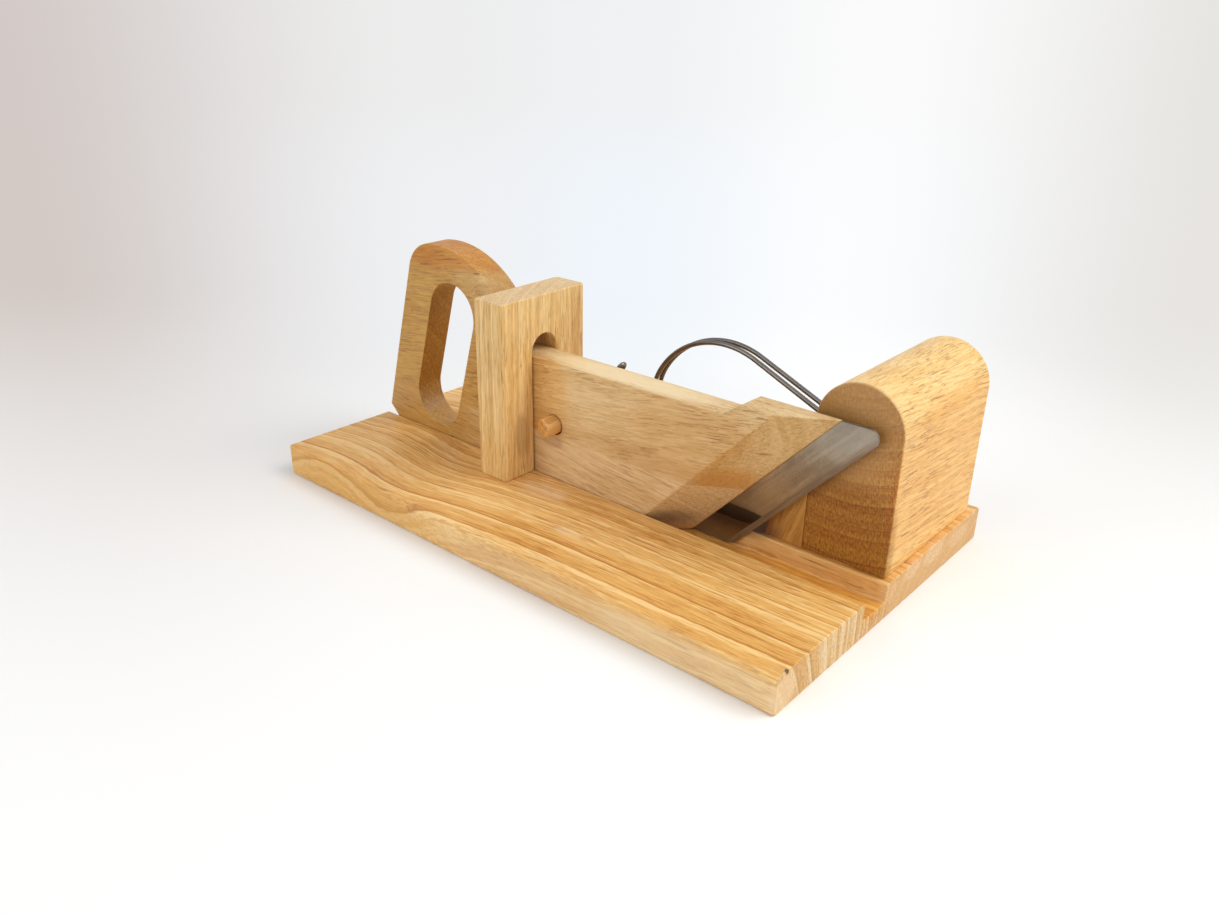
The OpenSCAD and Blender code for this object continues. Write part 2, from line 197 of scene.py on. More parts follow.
def sawn_rings(places, top, leans):
    """Growth rings of a wide board, by where each crosses its top face and how dark it is there.

    A ring leans on its way down through the board by a share of the depth, which runs between
    the values in leans, given as (from, to, value there, value there) across the board.
    """
    def rings(g, side, up):
        lean = g.sum("ADD", g.span(side, *leans[0]), g.span(side, *leans[1]))
        across = g.sum("MULTIPLY_ADD", g.sum("SUBTRACT", up, top), lean, side)
        low, reach = places[0][0], places[-1][0] - places[0][0]
        share = g.sum("MULTIPLY_ADD", across, 1.0 / reach, -low / reach)
        steps = len(places) - 1
        stops = [((place - low) / reach, (i / steps, dark, 0.0))
                 for i, (place, dark) in enumerate(places)]
        count, strength, _ = g.split(g.ramp(share, stops, "LINEAR"))
        return across, g.sum("FRACT", g.sum("MULTIPLY", count, steps)), strength
    return rings


def wood(name, pale, warm, deep, line, rings, grain=0, lean=(0.0, 0.0), wave=3.0, stretch=90.0,
         swing=None, drift=None, bands=0.5, lines=0.5, cream=0.2, streaks=0.5, fibres=0.9,
         pores=0.6, ends=(0.8, 0.7, 0.6), end_bands=0.3, end_lines=0.0, end_streaks=0.5,
         specks=0.25, rough=0.44, marks=()):
    """Solid wood cut from one log, so the figure runs through every face and the end grain.

    Slow noise warps the rings, lean tilts them across the grain, swing adds a cosine along the
    grain that dies away, and drift a single smooth step. Each ring starts with a thin dark line,
    goes from warm to pale and ends cream. Fibres, streaks and pores are noise drawn out along the
    warped grain. Faces across the grain are multiplied by the end tone and by short strokes of
    shade, and have bands, lines and streaks of their own strength. Marks are (kind, colour,
    strength, middle, half size): the multiplying kind tints the colour, as oiled wood does and as
    painted shade, scuffs are broken by the fibres, the soft kind has a soft edge and no gloss and
    serves both stains and painted shade, and dry patches lie between the rings of the ends.
    """
    g = Graph(name)
    place = g.place()
    parts = g.split(place)
    along = parts[grain]
    side, up = [parts[i] for i in range(3) if i != grain]

    slow = g.join(g.sum("DIVIDE", along, stretch), g.sum("DIVIDE", side, 42.0),
                  g.sum("DIVIDE", up, 42.0))
    warp = g.split(g.noise(slow, 1.5, 0.45, colour=True))
    side = g.sum("ADD", side, g.sum("MULTIPLY_ADD", warp[0], 2.0 * wave, -wave))
    up = g.sum("ADD", up, g.sum("MULTIPLY_ADD", warp[1], 2.0 * wave, -wave))
    if swing is not None:
        height, length, crest, fade_from, fade_to = swing
        turn = math.tau / length
        wavy = g.sum("COSINE", g.sum("MULTIPLY_ADD", along, turn, -crest * turn))
        fade = g.span(along, fade_from, fade_to, height, 0.0)
        side = g.sum("SUBTRACT", side, g.sum("MULTIPLY", wavy, fade))
    if drift is not None:
        side = g.sum("SUBTRACT", side, g.span(along, *drift))
    side = g.sum("MULTIPLY_ADD", along, -lean[0], side)
    up = g.sum("MULTIPLY_ADD", along, -lean[1], up)
    shaky = g.noise(g.join(g.sum("DIVIDE", along, 11.0), g.sum("DIVIDE", side, 9.0),
                           g.sum("DIVIDE", up, 9.0)), 2.0, 0.6)
    side = g.sum("ADD", side, g.sum("MULTIPLY_ADD", shaky, 1.4, -0.7))

    across, phase, strength = rings(g, side, up)
    rise = g.ramp(phase, [(0.0, (0.95,) * 3), (0.22, (0.62,) * 3), (0.60, (0.30,) * 3),
                          (0.90, (0.0,) * 3), (1.0, (0.0,) * 3)])
    band = g.sum("MULTIPLY", rise, strength)
    thin = g.sum("MAXIMUM", g.span(phase, 0.96, 1.0), g.span(phase, 0.0, 0.10, 1.0, 0.0))
    thin = g.sum("MULTIPLY", thin, strength)
    early = g.sum("MULTIPLY", g.span(phase, 0.74, 0.93), g.span(phase, 0.96, 1.0, 1.0, 0.0))

    fine = g.join(g.sum("DIVIDE", along, 12.0), g.sum("DIVIDE", side, 0.9), g.sum("DIVIDE", up, 0.9))
    fibre = g.noise(fine, 3.0, 0.7)
    broad = g.join(g.sum("DIVIDE", along, 90.0), g.sum("DIVIDE", across, 1.7),
                   g.sum("DIVIDE", up, 30.0))
    streak = g.noise(broad, 3.0, 0.62)
    cloud = g.noise(g.vector("MULTIPLY", place, (0.024, 0.024, 0.024)), 2.0)

    normal = g.node("NewGeometry", {}).outputs["Normal"]
    axis = tuple(float(i == grain) for i in range(3))
    facing = g.node("VectorMath", {0: normal, 1: axis}, operation="DOT_PRODUCT").outputs["Value"]
    end = g.span(g.sum("ABSOLUTE", facing), 0.35, 0.95)

    tone = g.sum("MULTIPLY", band, g.sum("MULTIPLY_ADD", end, end_bands, bands))
    tone = g.sum("MULTIPLY_ADD", early, -cream, tone)
    tone = g.sum("ADD", tone, g.sum("MULTIPLY_ADD", fibre, fibres, 0.30 - 0.5 * fibres))
    streaked = g.sum("MULTIPLY_ADD", end, 2.0 * streaks * (end_streaks - 1.0), 2.0 * streaks)
    tone = g.sum("MULTIPLY_ADD", g.sum("SUBTRACT", streak, 0.5), streaked, tone)
    tone = g.sum("ADD", tone, g.sum("MULTIPLY_ADD", cloud, 0.5, -0.25), clamp=True)
    colour = g.ramp(tone, [(0.08, pale), (0.48, warm), (0.92, deep)])
    thin_shown = g.sum("MULTIPLY", thin, g.sum("MULTIPLY_ADD", end, end_lines, lines))
    colour = g.blend(thin_shown, colour, rgb(line))

    short = g.join(g.sum("DIVIDE", along, 10.0), g.sum("DIVIDE", side, 0.58), g.sum("DIVIDE", up, 0.58))
    dash = g.span(g.noise(short, 1.0, 0.5), 0.57, 0.66)
    long = g.join(g.sum("DIVIDE", along, 20.0), g.sum("DIVIDE", side, 0.68), g.sum("DIVIDE", up, 0.68))
    bold = g.span(g.noise(long, 1.0, 0.5), 0.62, 0.70)
    crowd = g.span(g.sum("ADD", cloud, g.sum("MULTIPLY", streak, 0.5)), 0.58, 0.88, 0.35, 0.95)
    pore = g.sum("MULTIPLY", g.sum("MAXIMUM", g.sum("MULTIPLY", dash, 0.65), bold), crowd)
    pore = g.sum("MULTIPLY", pore, g.sum("MULTIPLY_ADD", end, -0.7, 1.0))
    shade = tuple(c * k for c, k in zip(deep, (0.60, 0.46, 0.36)))
    colour = g.blend(g.sum("MULTIPLY", pore, pores), colour, rgb(shade))
    strokes = g.noise(g.join(along, g.sum("DIVIDE", side, 0.8), g.sum("DIVIDE", up, 1.9)), 2.0, 0.6)
    shadow = g.span(strokes, 0.30, 0.70, 1.0 - specks, 1.0 + specks)
    across_grain = g.blend(1.0, colour, rgb(ends), "MULTIPLY")
    across_grain = g.blend(1.0, across_grain, g.join(shadow, shadow, shadow), "MULTIPLY")
    colour = g.blend(end, colour, across_grain)

    roughness = g.sum("MULTIPLY_ADD", fibre, 0.16, rough - 0.08)
    for kind, tint, amount, centre, half in marks:
        soft = kind == "soft_mark"
        patch = g.patch(place, centre, half, streak if soft else cloud, 0.55 if soft else 0.3)
        if kind == "scuff":
            patch = g.sum("MULTIPLY", patch, g.span(fibre, 0.42, 0.62))
        if kind == "dry":
            patch = g.sum("MULTIPLY", patch, g.sum("MULTIPLY", end, g.span(band, 0.40, 0.05)))
            patch = g.sum("MULTIPLY", patch, g.span(streak, 0.62, 0.42))
        how = "MULTIPLY" if kind == "oil_and_shade" else "MIX"
        patch = g.sum("MULTIPLY", patch, amount)
        colour = g.blend(patch, colour, rgb(tint), how)
        if soft:
            roughness = g.sum("MULTIPLY_ADD", patch, 0.5, roughness)

    height = g.sum("MULTIPLY_ADD", pore, -0.9, g.sum("MULTIPLY", fibre, 0.6))
    height = g.sum("MULTIPLY_ADD", thin, -0.2, height)
    bump = g.node("Bump", {"Height": height, "Strength": 0.35, "Distance": 0.00025})
    shader = g.node("BsdfPrincipled", {"Base Color": colour, "Roughness": roughness,
                                       "Normal": bump.outputs[0]})
    return g.surface(shader)


# Metal

def steel(name, bright, soft_mark, grain, brushed=0.5, stains=0.5, rough=0.32, ground=None,
          patches=()):
    """Worn steel: scratches drawn out along one axis, stains of slow noise and dark patches.

    Ground is the colour of faces that are turned away from Y, where a blade is ground to an edge;
    on the blade its greyer tone is a painted reflection of the pale room. Patches are painted
    reflections and highlights, given as (colour, strength, middle, half size, width of the edge).
    """
    g = Graph(name)
    place = g.place()
    turned = g.node("Mapping", {"Vector": place, "Rotation": grain}, vector_type="POINT").outputs[0]
    scratch = g.noise(g.vector("MULTIPLY", turned, (0.035, 2.6, 2.6)), 4.0, 0.65)
    wipe = g.noise(g.vector("MULTIPLY", turned, (0.03, 0.30, 0.30)), 3.0, 0.6)
    cloud = g.noise(g.vector("MULTIPLY", place, (0.06, 0.06, 0.06)), 3.0, 0.55)
    fleck = g.noise(g.vector("MULTIPLY", place, (0.9, 0.9, 0.9)), 3.0, 0.6)
    dirt = g.sum("ADD", g.sum("MULTIPLY", cloud, 0.45), g.sum("MULTIPLY", wipe, 0.40))
    dirt = g.sum("MULTIPLY_ADD", fleck, 0.15, dirt)
    amount = g.sum("MULTIPLY", g.span(dirt, 0.38, 0.64), stains)
    colour = g.blend(amount, rgb(bright), rgb(soft_mark))
    colour = g.blend(g.sum("MULTIPLY", g.span(scratch, 0.35, 0.7), brushed), colour,
                     rgb(tuple(c * 0.55 for c in bright)))
    for tint, strength, centre, half, width in patches:
        patch = g.patch(place, centre, half, dirt, width)
        colour = g.blend(g.sum("MULTIPLY", patch, strength), colour, rgb(tint))
    roughness = g.sum("MULTIPLY_ADD", dirt, 0.24, rough - 0.12)
    if ground is not None:
        normal = g.node("NewGeometry", {}).outputs["Normal"]
        facing = g.split(normal)[1]
        bevel = g.span(g.sum("ABSOLUTE", facing), 0.995, 0.97)
        # On the blade, the ground tone is a painted reflection of the pale room, streaked darker by the
        # wipe noise.
        ground_wear_and_reflection = g.blend(g.span(wipe, 0.35, 0.65), rgb(ground), rgb(tuple(c * 0.7 for c in ground)))
        colour = g.blend(bevel, colour, ground_wear_and_reflection)
        roughness = g.sum("MULTIPLY_ADD", bevel, 0.22, roughness)
    bump = g.node("Bump", {"Height": scratch, "Strength": 0.2, "Distance": 0.00008})
    shader = g.node("BsdfPrincipled", {"Base Color": colour, "Metallic": 1.0,
                                       "Roughness": roughness, "Normal": bump.outputs[0]})
    return g.surface(shader)


def paper(name):
    """White studio sheet.

    Near the object it is a plain sheet that takes shadows. Further off, the eye and mirrors see
    a pale glowing backdrop in a fan of tones of painted light and shade, by how far aside a place
    is for its depth: warm grey at the left, bluish in the middle, white and then grey at the right,
    and less blue at the far back.
    Far from the object it runs out into the room's own tone. Other light sees plain white paper
    everywhere.
    """
    g = Graph(name)
    coords = g.node("TexCoord", {}).outputs["Object"]
    sideways, depth, _ = g.split(coords)
    aside = g.sum("DIVIDE", sideways, g.sum("MAXIMUM", g.sum("ADD", depth, 0.436), 0.05))
    aside = g.sum("MULTIPLY_ADD", aside, 1.0 / 2.4, 0.5)
    middle = g.ramp(aside, [(0.0, ROOM_TONE), (0.25, (0.65, 0.59, 0.56)), (0.43, (0.87, 0.88, 0.90)),
                            (0.50, (0.87, 0.92, 0.97)), (0.59, (0.965, 0.98, 1.0)),
                            (0.75, (0.80, 0.78, 0.75)), (1.0, ROOM_TONE)])
    back = g.ramp(aside, [(0.0, ROOM_TONE), (0.25, (0.65, 0.59, 0.57)), (0.43, (0.85, 0.85, 0.85)),
                          (0.50, (0.87, 0.885, 0.90)), (0.60, (0.965, 0.965, 0.97)),
                          (0.75, (0.78, 0.77, 0.74)), (1.0, ROOM_TONE)])
    colour = g.blend(g.span(depth, 0.5, 2.2), middle, back)
    colour = g.blend(g.span(depth, -0.3, 0.4), rgb((0.990, 0.990, 0.982)), colour)
    outside = g.sum("MAXIMUM", g.span(g.sum("ABSOLUTE", sideways), 2.4, 6.0),
                    g.span(depth, -1.0, -5.0))
    colour = g.blend(outside, colour, rgb(ROOM_TONE))
    sheet = g.node("BsdfPrincipled", {"Base Color": colour, "Roughness": 0.9,
                                      "Specular IOR Level": 0.2})
    backdrop = g.node("Emission", {"Color": colour, "Strength": 1.0})
    plain = g.node("BsdfDiffuse", {"Color": rgb((0.84, 0.84, 0.84))})
    far = g.span(g.length(g.join(sideways, depth, 0.0)), 0.20, 0.42)
    shown = g.node("MixShader", {0: far, 1: sheet.outputs[0], 2: backdrop.outputs[0]})
    rays = g.node("LightPath", {}).outputs
    seen = g.sum("MAXIMUM", rays["Is Camera Ray"], rays["Is Glossy Ray"])
    seen = g.sum("MAXIMUM", seen, rays["Is Transmission Ray"])
    return g.surface(g.node("MixShader", {0: seen, 1: plain.outputs[0], 2: shown.outputs[0]}))


# Meshes

def new_piece(name, points, faces, material, smooth=True):
    """Puts points and faces into a mesh object with one material."""
    mesh = bpy.data.meshes.new(name)
    mesh.from_pydata(np.asarray(points).tolist(), [], faces)
    mesh.materials.append(material)
    mesh.polygons.foreach_set("use_smooth", [smooth] * len(mesh.polygons))
    mesh.update()
    piece = bpy.data.objects.new(name, mesh)
    bpy.context.collection.objects.link(piece)
    return piece


def grid_faces(rows, columns, wrap_columns, first=0):
    """Quads of a grid whose points lie row by row; the columns may close on themselves."""
    reach = columns if wrap_columns else columns - 1
    i, j = np.meshgrid(np.arange(rows - 1), np.arange(reach), indexing="ij")
    after = (j + 1) % columns
    quads = np.stack([i * columns + j, i * columns + after, (i + 1) * columns + after,
                      (i + 1) * columns + j], axis=-1)
    return (quads.reshape(-1, 4) + first).tolist()


def face_outwards(piece):
    """Merges doubled points and turns every face outwards."""
    shell = bmesh.new()
    shell.from_mesh(piece.data)
    bmesh.ops.remove_doubles(shell, verts=shell.verts, dist=WELD)
    bmesh.ops.dissolve_degenerate(shell, edges=shell.edges, dist=WELD)
    bmesh.ops.recalc_face_normals(shell, faces=shell.faces)
    shell.to_mesh(piece.data)
    shell.free()
    piece.data.update()


def even_shading(piece):
    """Weights the shading by face size, so flat faces stay flat beside their rounded edges."""
    weighted = piece.modifiers.new("even shading", "WEIGHTED_NORMAL")
    weighted.mode = "FACE_AREA"
    weighted.weight = 90
    weighted.keep_sharp = True


def welded_copy(nodes, seam=None):
    """A shell of CAD solids' meshes: triangles joined, flat faces made whole.

    Where the solids meet face to face at the height seam, the faces there are taken out, so the
    solids become one.
    """
    shell = bmesh.new()
    for node in nodes:
        shell.from_mesh(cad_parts[node].data)
    bmesh.ops.remove_doubles(shell, verts=shell.verts, dist=WELD)
    if seam is not None:
        inner = [f for f in shell.faces if all(abs(v.co.z - seam) < 5 * WELD for v in f.verts)]
        bmesh.ops.delete(shell, geom=inner, context="FACES_ONLY")
    bmesh.ops.dissolve_limit(shell, angle_limit=FLAT_TURN, verts=shell.verts, edges=shell.edges)
    bmesh.ops.recalc_face_normals(shell, faces=shell.faces)
    return shell


def near_hole(edge, holes):
    """Whether an edge lies on the rim of one of the holes, given as (point, axis, reach)."""
    for point, axis, reach in holes:
        off = (edge.verts[0].co + edge.verts[1].co) / 2 - Vector(point)
        off[axis] = 0.0
        if off.length < reach:
            return True
    return False


def round_edges(shell, width, holes=(), rim=0.15 * MM, segments=3):
    """Rolls every sharp edge of a shell over to a small round, and the rims of holes to less."""
    sharp = [e for e in shell.edges if e.is_manifold and e.calc_face_angle() > SHARP_TURN]
    rims = [e for e in sharp if near_hole(e, holes)]
    outer = [e for e in sharp if e not in set(rims)]
    for edges, size, steps in ((outer, width, segments), (rims, rim, 1)):
        edges = [e for e in edges if e.is_valid]
        if edges:
            bmesh.ops.bevel(shell, geom=edges, offset=size, offset_type="OFFSET", segments=steps,
                            profile=0.5, affect="EDGES", clamp_overlap=True, miter_outer="ARC")


def keep_side(shell, height, upper):
    """Cuts a shell level at a height, closes the cut and keeps one side.

    Points that all but lie on the cut are first put on it, so that it leaves no slivers.
    """
    for vert in shell.verts:
        if abs(vert.co.z - height) < SNAP:
            vert.co.z = height
    bmesh.ops.remove_doubles(shell, verts=shell.verts, dist=WELD)
    bmesh.ops.dissolve_degenerate(shell, edges=shell.edges, dist=WELD)
    bmesh.ops.bisect_plane(shell, geom=shell.verts[:] + shell.edges[:] + shell.faces[:],
                           plane_co=(0, 0, height), plane_no=(0, 0, 1), dist=WELD,
                           clear_inner=upper, clear_outer=not upper)
    bmesh.ops.remove_doubles(shell, verts=shell.verts, dist=WELD)
    rim = [e for e in shell.edges if e.is_boundary]
    for edge in rim:
        edge.smooth = False
    bmesh.ops.triangle_fill(shell, edges=rim, use_beauty=True)
    bmesh.ops.recalc_face_normals(shell, faces=shell.faces)


def finish_shell(name, shell, material, body, slot, *nodes):
    """Makes a shell the piece that stands for its CAD nodes."""
    mesh = bpy.data.meshes.new(name)
    shell.to_mesh(mesh)
    shell.free()
    mesh.materials.append(material)
    mesh.polygons.foreach_set("use_smooth", [True] * len(mesh.polygons))
    piece = bpy.data.objects.new(name, mesh)
    bpy.context.collection.objects.link(piece)
    even_shading(piece)
    dress(piece, body, slot, *nodes)
    return piece


def dress(piece, body, slot, *nodes):
    """Says what a piece rides on and hides the CAD nodes it stands for; the slot is not used."""
    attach(piece, body)
    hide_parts(*nodes)


def timber(name, node, material, width, slot, holes=()):
    """A wooden piece of the base: its CAD solid with its edges eased."""
    shell = welded_copy([node])
    round_edges(shell, width, holes)
    return finish_shell(name, shell, material, "base", slot, node)


def ring_tube(middle, normals, radius, sides):
    """Points of a round bar, ring by ring.

    A ring's points are the path's point plus radius times (cos t N + sin t B), where N is the
    path's normal there and B is square to N and to the path.
    """
    tangents = np.gradient(middle, axis=0)
    tangents /= np.linalg.norm(tangents, axis=1)[:, None]
    across = np.cross(tangents, normals)
    across /= np.linalg.norm(across, axis=1)[:, None]
    t = np.linspace(0, math.tau, sides, endpoint=False)[None, :, None]
    rings = middle[:, None] + radius * (np.cos(t) * normals[:, None] + np.sin(t) * across[:, None])
    return rings.reshape(-1, 3)


def turned(profile, sides, swell=None):
    """Points of a turned shape about Z, ring by ring, from its profile of (radius, height).

    Swell adds to the radius of each point as a function of its angle and its place on the
    profile.
    """
    radius, height = np.asarray(profile, float).T
    t = np.linspace(0, math.tau, sides, endpoint=False)
    rings = np.broadcast_to(radius[:, None], (len(radius), sides))
    if swell is not None:
        rings = rings + swell(t[None, :], height[:, None]) * (radius[:, None] > 0)
    heights = np.broadcast_to(height[:, None], rings.shape)
    return np.stack([rings * np.cos(t), rings * np.sin(t), heights], axis=-1)


# The wire

def wire_leg(root, ramp_angle, arch_turn, tip_turn):
    """Middle line of one leg in the plane of X and Z, with its normals, from block to tip.

    The heading is a straight line between the joins of the route, because each stretch is
    straight or has one radius. The place is the running sum of the heading's cosine and sine.
    """
    sunk, root_r, ramp, arch_r, fall_r, ring_r, ring_up, hook_r, tip = (
        17.0, 20.0, 46.8, 43.0, 28.0, 12.5, 3.0, 8.0, 1.6)
    turns = np.radians([0.0, -ramp_angle, 0.0, ramp_angle + arch_turn, 90.0 - arch_turn, -180.0,
                        0.0, -tip_turn, 0.0])
    lengths = np.array([sunk, root_r, ramp, arch_r, fall_r, ring_r, ring_up, hook_r, tip])
    bends = turns != 0
    lengths[bends] *= np.abs(turns[bends])
    joins = np.concatenate([[0.0], np.cumsum(lengths)])
    headings = np.concatenate([[math.pi], math.pi + np.cumsum(turns)])
    s = np.linspace(0.0, joins[-1], 2401)
    heading = np.interp(s, joins, headings)
    steps = np.stack([np.cos(heading), np.sin(heading)], axis=1)
    run = np.cumsum((steps[1:] + steps[:-1]) / 2 * (s[1] - s[0]), axis=0)
    place = np.concatenate([[[0.0, 0.0]], run]) + (root[0] + sunk, root[1])
    return place[::12], heading[::12]


def hairpin(root, middle_y, pitch, tip_pitch):
    """Middle line of the whole wire with its normals: a leg, half a turn, and the leg back.

    Each leg stands in its own upright plane. The planes close on each other from pitch at the
    root to tip pitch at the free end, where the half turn is a half circle of that diameter.
    """
    place, heading = wire_leg(root, 23.5, 60.0, 30.0)
    reach = np.clip(root[0] - place[:, 0], 0.0, None)
    close = (pitch - tip_pitch) / 2 * reach / reach[-1]
    legs = [np.stack([place[:, 0], np.full(len(place), middle_y) + side * (pitch / 2 - close),
                      place[:, 1]], axis=1) for side in (-1, 1)]
    flat = np.zeros(len(place))
    normals = np.stack([-np.sin(heading), flat, np.cos(heading)], axis=1)
    out = np.array([math.cos(heading[-1]), 0.0, math.sin(heading[-1])])
    end = (legs[0][-1] + legs[1][-1]) / 2
    t = np.linspace(0.0, math.pi, 17)[1:-1, None]
    half_turn = end + tip_pitch / 2 * (-np.cos(t) * np.array([0.0, 1.0, 0.0]) + np.sin(t) * out)
    path = np.concatenate([legs[0], half_turn, legs[1][::-1]])
    return path, np.concatenate([normals, np.repeat(normals[-1:], len(t), axis=0), normals[::-1]])


# The screws and the peg

def screw_points(diameter, length, sides=32):
    """A countersunk screw along Z with a cross recess in its head and a thread on its shank.

    The recess is sunk where a point of the head lies in either arm of a cross. The thread adds
    to the shank's radius by how near its height is to a helix.
    """
    head_r = diameter * 0.95
    neck = head_r - diameter / 2
    tip = diameter * 1.2
    core = diameter * 0.40
    arm_w, arm_l, deep = head_r * 0.17, head_r * 0.58, head_r * 0.38
    face_r = np.linspace(0.0, head_r, 15)
    thread_z = np.arange(neck + diameter * 1.4, length - tip, diameter / 10)
    profile = [(r, 0.0) for r in face_r]
    profile += [(diameter / 2, neck), (diameter / 2, neck + diameter)]
    profile += [(core, z) for z in thread_z] + [(core * 0.3, length - 0.2), (0.0, length)]

    def thread(t, z):
        turn = np.mod(z / (diameter * 0.42) - t / math.tau, 1.0)
        ridge = np.clip(1.0 - np.abs(turn - 0.5) / 0.3, 0.0, 1.0)
        on = (z >= thread_z[0]) & (z <= thread_z[-1])
        return (diameter / 2 - core) * ridge * on

    points = turned(profile, sides, thread)
    x, y = np.abs(points[..., 0]), np.abs(points[..., 1])
    arms = np.maximum(np.clip((arm_w - x) / 0.1, 0, 1) * np.clip((arm_l - y) / 0.3, 0, 1),
                      np.clip((arm_w - y) / 0.1, 0, 1) * np.clip((arm_l - x) / 0.3, 0, 1))
    face = points[..., 2] == 0.0
    points[..., 2] += deep * arms * face
    return points


def add_screws(name, places, direction, diameter, length, body, node):
    """Screws at places in metres, all pointing one way, as one piece for their CAD node."""
    points = screw_points(diameter, length) * MM
    turn = np.array(Vector((0, 0, 1)).rotation_difference(Vector(direction)).to_matrix())
    rows, sides = points.shape[:2]
    count = rows * sides
    shape = points.reshape(-1, 3) @ turn.T
    every = np.concatenate([shape + np.asarray(p) for p in places])
    faces = []
    for i in range(len(places)):
        faces += grid_faces(rows, sides, True, i * count)
    piece = new_piece(name, every, faces, screw_steel)
    face_outwards(piece)
    dress(piece, body, "screw_steel", node)
    return piece


def two_screws(node, reach):
    """The points of two upright screws' heads, from the box of their CAD node."""
    low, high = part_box(node)
    return [((low.x + high.x) / 2, low.y + reach, low.z), ((low.x + high.x) / 2, high.y - reach, low.z)]


# Frame, stage and camera

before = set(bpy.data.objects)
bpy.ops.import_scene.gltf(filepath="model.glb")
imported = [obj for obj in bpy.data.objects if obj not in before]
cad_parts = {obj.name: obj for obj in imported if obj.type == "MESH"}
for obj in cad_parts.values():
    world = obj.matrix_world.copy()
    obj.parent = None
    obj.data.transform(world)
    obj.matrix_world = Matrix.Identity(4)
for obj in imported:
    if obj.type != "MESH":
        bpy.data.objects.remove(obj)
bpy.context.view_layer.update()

scene = bpy.context.scene
scene.view_settings.view_transform = "Standard"
place_camera((0.280672, -0.334399, 0.224491), 40.4387, 24.5543, 0.9085, 29.603)

world = bpy.data.worlds.new("room")
world.use_nodes = True
room = world.node_tree.nodes
room["Background"].inputs["Color"].default_value = (0.97, 0.985, 1.0, 1.0)
room["Background"].inputs["Strength"].default_value = 0.62
seen_room = room.new("ShaderNodeBackground")
seen_room.inputs["Color"].default_value = rgb(ROOM_TONE)
seen_room.inputs["Strength"].default_value = 1.0
eye = room.new("ShaderNodeLightPath")
choose = room.new("ShaderNodeMixShader")
seen = room.new("ShaderNodeMath")
seen.operation = "MAXIMUM"
also_seen = room.new("ShaderNodeMath")
also_seen.operation = "MAXIMUM"
world.node_tree.links.new(eye.outputs["Is Camera Ray"], seen.inputs[0])
world.node_tree.links.new(eye.outputs["Is Glossy Ray"], seen.inputs[1])
world.node_tree.links.new(seen.outputs[0], also_seen.inputs[0])
world.node_tree.links.new(eye.outputs["Is Transmission Ray"], also_seen.inputs[1])
world.node_tree.links.new(also_seen.outputs[0], choose.inputs[0])
world.node_tree.links.new(room["Background"].outputs[0], choose.inputs[1])
world.node_tree.links.new(seen_room.outputs[0], choose.inputs[2])
world.node_tree.links.new(choose.outputs[0], room["World Output"].inputs["Surface"])
scene.world = world
soft_light("window", (1.05, 0.55, 1.35), (0, 0, 0.04), 1.3, 19.0, (1.0, 0.985, 0.955))
soft_light("room", (-0.45, -1.55, 0.75), (0, 0, 0.04), 1.2, 6.8, (1.0, 0.99, 0.97))

# The floor is flat out to a distance, then turns up into a wall: a profile carried along X
sheet_turn = np.linspace(0, math.pi / 2, 24)
floor_y = np.concatenate([[-8.0], 2.2 + 1.2 * np.sin(sheet_turn), [3.4]])
floor_z = np.concatenate([[0.0], 1.2 - 1.2 * np.cos(sheet_turn), [4.0]])
floor_x = np.linspace(-8.0, 8.0, 3)
floor_points = np.stack([np.broadcast_to(floor_x[:, None], (3, 26)),
                         np.broadcast_to(floor_y, (3, 26)),
                         np.broadcast_to(floor_z, (3, 26))], axis=-1).reshape(-1, 3)
floor = new_piece("floor", floor_points, grid_faces(3, 26, False), paper("paper"))
floor.rotation_euler[2] = math.radians(40)


# Finishes

